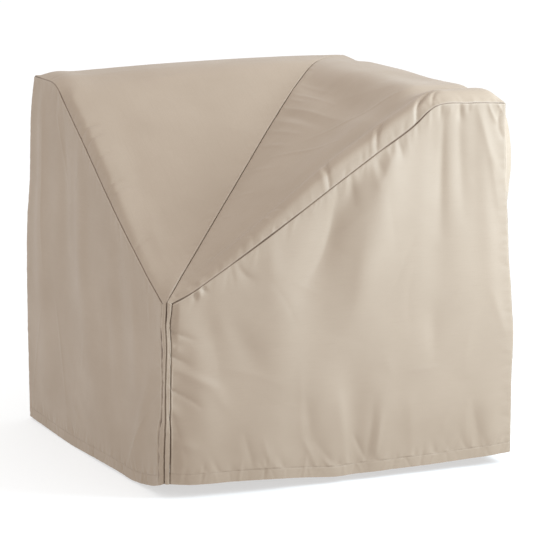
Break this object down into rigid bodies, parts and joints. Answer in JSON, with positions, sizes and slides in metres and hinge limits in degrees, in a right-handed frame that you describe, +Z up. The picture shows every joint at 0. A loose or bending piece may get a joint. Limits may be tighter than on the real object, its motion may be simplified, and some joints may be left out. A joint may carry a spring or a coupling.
{
  "type": "outdoor corner sofa cover",
  "caption": "Fitted cloth cover for an outdoor corner seat: tall back walls with flat ridges, and top panels that slope to the open seat corner.",
  "frame": {"origin": "middle of the square plan, level with the lowest point of the hem", "axes": "+Z up; the open seat corner points to -X -Y; the walls over the sofa backs stand at +X and +Y"},
  "size_m": [0.9087, 0.9118, 0.8876],
  "materials": {
    "coated_cloth": "closely woven beige polyester with a water-repellent coating, slightly satin"
  },
  "bodies": {
    "root": {"side_right": "coated_cloth", "side_left": "coated_cloth", "top_right": "coated_cloth", "top_left": "coated_cloth", "back_right": "coated_cloth", "back_left": "coated_cloth"}
  },
  "joints": []
}
